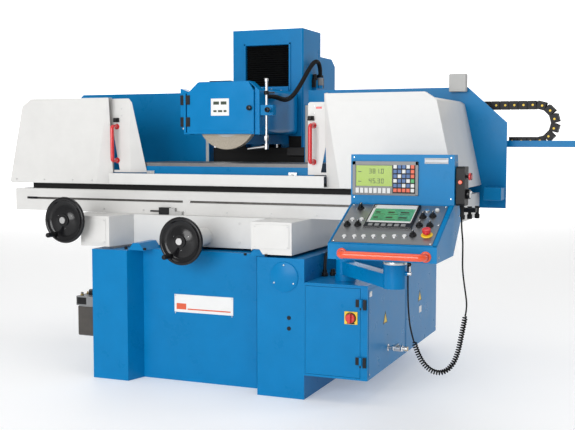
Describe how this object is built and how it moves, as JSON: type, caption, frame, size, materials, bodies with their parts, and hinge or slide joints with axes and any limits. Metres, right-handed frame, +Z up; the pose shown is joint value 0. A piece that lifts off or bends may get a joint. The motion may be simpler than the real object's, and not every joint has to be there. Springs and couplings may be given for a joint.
{
  "type": "surface grinder",
  "caption": "Surface grinder with a sliding table, a wheel head on a column, a sheet splash guard and a control panel on a swing arm.",
  "frame": {"origin": "centre of the base casting's footprint, on the floor", "axes": "+X to the operator's right along the table, +Y away from the operator, +Z up"},
  "size_m": [3.05, 1.985, 1.815],
  "materials": {
    "blue_paint": "glossy",
    "white_paint": "satin",
    "machined_iron": "ground",
    "bright_steel": "satin",
    "black_plastic": "matte",
    "black_rubber": "matte",
    "grey_plastic": "matte",
    "red_plastic": "glossy",
    "orange_paint": "glossy",
    "abrasive": "rough",
    "brass": "satin"
  },
  "bodies": {
    "base": {"base_casting": "blue_paint", "lube_unit": "grey_plastic", "column_casting": "blue_paint", "column_rear_box": "blue_paint", "lift_motor": "blue_paint", "cabinet": "blue_paint", "mounting_plate": "machined_iron", "hydraulic_tank": "blue_paint", "drain_cock": "bright_steel", "arm_pedestal": "blue_paint", "column_bellows": "black_rubber", "conduit": "black_plastic"},
    "saddle": {"saddle_casting": "white_paint", "table_bed": "white_paint", "traverse_gearbox": "white_paint", "splash_tray": "white_paint", "left_guard": "white_paint", "right_guard": "white_paint", "front_apron": "white_paint", "rear_guard": "blue_paint", "rear_curtain": "black_rubber", "energy_chain": "black_plastic", "traverse_cylinder": "bright_steel"},
    "table": {"table": "machined_iron", "piston_rod": "bright_steel"},
    "table_wheel": {"table_handwheel": "black_plastic", "table_drive_shaft": "bright_steel"},
    "table_crank": {"table_grip": "black_plastic"},
    "cross_wheel": {"cross_handwheel": "black_plastic", "cross_screw": "bright_steel"},
    "cross_crank": {"cross_grip": "black_plastic"},
    "left_slide_door": {"left_door": "white_paint"},
    "right_slide_door": {"right_door": "white_paint"},
    "head": {"head_casting": "blue_paint", "wheel_guard": "blue_paint", "spindle_motor": "machined_iron", "coolant_clamp": "blue_paint"},
    "guard_cover": {"guard_door": "blue_paint"},
    "cover_knob": {"guard_knob": "brass"},
    "wheel_spindle": {"spindle": "bright_steel", "grinding_wheel": "abrasive", "wheel_flange": "bright_steel"},
    "head_screw": {"lift_screw": "bright_steel"},
    "coolant": {"coolant_pipe": "bright_steel"},
    "electric_door": {"cabinet_door": "blue_paint"},
    "switch": {"main_switch": "red_plastic"},
    "cock_lever": {"drain_lever": "bright_steel"},
    "arm": {"swing_arm": "blue_paint"},
    "post_clamp": {"clamp_lever": "bright_steel"},
    "panel": {"panel_housing": "blue_paint", "console_plate": "bright_steel", "panel_displays": "grey_plastic", "handlebar": "orange_paint", "pendant": "black_plastic", "cord_upper": "black_rubber", "cord_coil": "black_rubber", "cord_lower": "black_rubber"},
    "mode_selector": {"mode_knob": "black_plastic"},
    "speed_selector": {"speed_knob": "black_plastic"},
    "stop_button": {"e_stop": "red_plastic"}
  },
  "joints": [
    {"name": "saddle_cross", "type": "slide", "parent": "base", "child": "saddle", "axis": [0, 1, 0], "range_m": [-0.19, 0.09]},
    {"name": "table_traverse", "type": "slide", "parent": "saddle", "child": "table", "axis": [1, 0, 0], "range_m": [-0.485, 0.485]},
    {"name": "table_wheel_turn", "type": "hinge", "parent": "saddle", "child": "table_wheel", "pos_m": [-0.691, -0.81, 0.803], "axis": [0, 1, 0], "range_deg": [-1748, 1748]},
    {"name": "table_grip_spin", "type": "hinge", "parent": "table_wheel", "child": "table_crank", "pos_m": [-0.74826, -0.81, 0.72971], "axis": [0, 1, 0], "continuous": true},
    {"name": "cross_wheel_turn", "type": "hinge", "parent": "saddle", "child": "cross_wheel", "pos_m": [-0.033, -0.81, 0.722], "axis": [0, 1, 0], "range_deg": [-13690, 6490]},
    {"name": "cross_grip_spin", "type": "hinge", "parent": "cross_wheel", "child": "cross_crank", "pos_m": [-0.09026, -0.81, 0.64871], "axis": [0, 1, 0], "continuous": true},
    {"name": "left_door_slide", "type": "slide", "parent": "saddle", "child": "left_slide_door", "axis": [1, 0, 0], "range_m": [0, 0.15]},
    {"name": "right_door_slide", "type": "slide", "parent": "saddle", "child": "right_slide_door", "axis": [-1, 0, 0], "range_m": [0, 0.15]},
    {"name": "head_lift", "type": "slide", "parent": "base", "child": "head", "axis": [0, 0, 1], "range_m": [-0.065, 0.19], "deforming": ["column_bellows", "conduit"]},
    {"name": "lift_screw_turn", "type": "hinge", "parent": "base", "child": "head_screw", "pos_m": [0, 0.3, 1.3], "axis": [0, 0, 1], "range_deg": [-4690, 13690]},
    {"name": "spindle_spin", "type": "hinge", "parent": "head", "child": "wheel_spindle", "pos_m": [0, -0.36, 1.3225], "axis": [0, 1, 0], "continuous": true},
    {"name": "guard_cover_swing", "type": "hinge", "parent": "head", "child": "guard_cover", "pos_m": [-0.228, -0.393, 1.35], "axis": [0, 0, 1], "range_deg": [-100, 0]},
    {"name": "guard_knob_turn", "type": "hinge", "parent": "guard_cover", "child": "cover_knob", "pos_m": [0.142, -0.4, 1.3645], "axis": [0, 1, 0], "range_deg": [0, 90]},
    {"name": "coolant_pipe_turn", "type": "hinge", "parent": "head", "child": "coolant", "pos_m": [0.217, -0.362, 1.35], "axis": [0, 0, 1], "range_deg": [0, 100]},
    {"name": "cabinet_door_swing", "type": "hinge", "parent": "base", "child": "electric_door", "pos_m": [0.85, -0.758, 0.33], "axis": [0, 0, 1], "range_deg": [0, 110]},
    {"name": "main_switch_turn", "type": "hinge", "parent": "electric_door", "child": "switch", "pos_m": [0.801, -0.76, 0.4], "axis": [0, 1, 0], "range_deg": [0, 90]},
    {"name": "drain_lever_turn", "type": "hinge", "parent": "base", "child": "cock_lever", "pos_m": [0.928, -0.424, 0.22], "axis": [0, 0, 1], "range_deg": [0, 90]},
    {"name": "arm_swing", "type": "hinge", "parent": "base", "child": "arm", "pos_m": [0.722, -0.6, 0.6], "axis": [0, 0, 1], "range_deg": [-40, 8]},
    {"name": "panel_swivel", "type": "hinge", "parent": "arm", "child": "panel", "pos_m": [1.07, -0.98, 0.65], "axis": [0, 0, 1], "range_deg": [-45, 20]},
    {"name": "clamp_lever_turn", "type": "hinge", "parent": "arm", "child": "post_clamp", "pos_m": [1.118, -0.98, 0.648], "axis": [1, 0, 0], "range_deg": [-40, 90]},
    {"name": "e_stop_press", "type": "slide", "parent": "panel", "child": "stop_button", "axis": [0, 0.4436, -0.8962], "range_m": [0, 0.004], "stiffness_N_per_m": 400},
    {"name": "mode_knob_turn", "type": "hinge", "parent": "panel", "child": "mode_selector", "pos_m": [0.904, -0.92905, 0.9082], "axis": [0, -0.4436, 0.8962], "range_deg": [-60, 60]},
    {"name": "speed_knob_turn", "type": "hinge", "parent": "panel", "child": "speed_selector", "pos_m": [1.189, -0.98103, 0.88247], "axis": [0, -0.4436, 0.8962], "range_deg": [-135, 135]}
  ],
  "couplings": [
    {"joint": "table_wheel_turn", "follows": "table_traverse", "rad_per_m": 62.832},
    {"joint": "cross_wheel_turn", "follows": "saddle_cross", "rad_per_m": 1256.6},
    {"joint": "lift_screw_turn", "follows": "head_lift", "rad_per_m": 1256.6}
  ]
}
